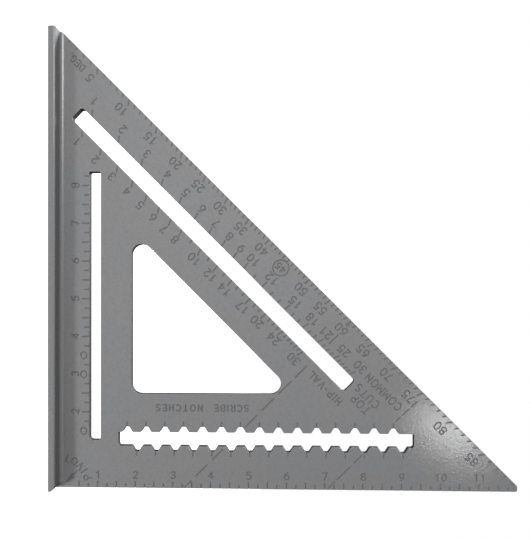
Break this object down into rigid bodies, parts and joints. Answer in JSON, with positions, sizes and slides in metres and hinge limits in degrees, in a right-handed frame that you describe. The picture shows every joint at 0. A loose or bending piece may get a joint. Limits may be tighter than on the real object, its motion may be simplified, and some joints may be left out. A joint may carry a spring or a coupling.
{
  "type": "speed square",
  "caption": "Right-triangle rafter square: a slotted flat blade with inch, degree and rafter scales on a T-shaped fence along one leg.",
  "frame": {"origin": "middle of the fence's outer face, which the square stands on", "axes": "+Z from the fence across the blade to its far corner, +X along the fence towards the right-angle corner, +Y through the blade's thickness, away from the face with the scales"},
  "size_m": [0.3064, 0.0222, 0.309],
  "materials": {
    "fence_cast": "satin die-cast aluminium, bare",
    "blade_cast": "satin die-cast aluminium, bare, with recessed scales"
  },
  "bodies": {
    "root": {"fence": "fence_cast", "blade": "blade_cast"}
  },
  "joints": []
}
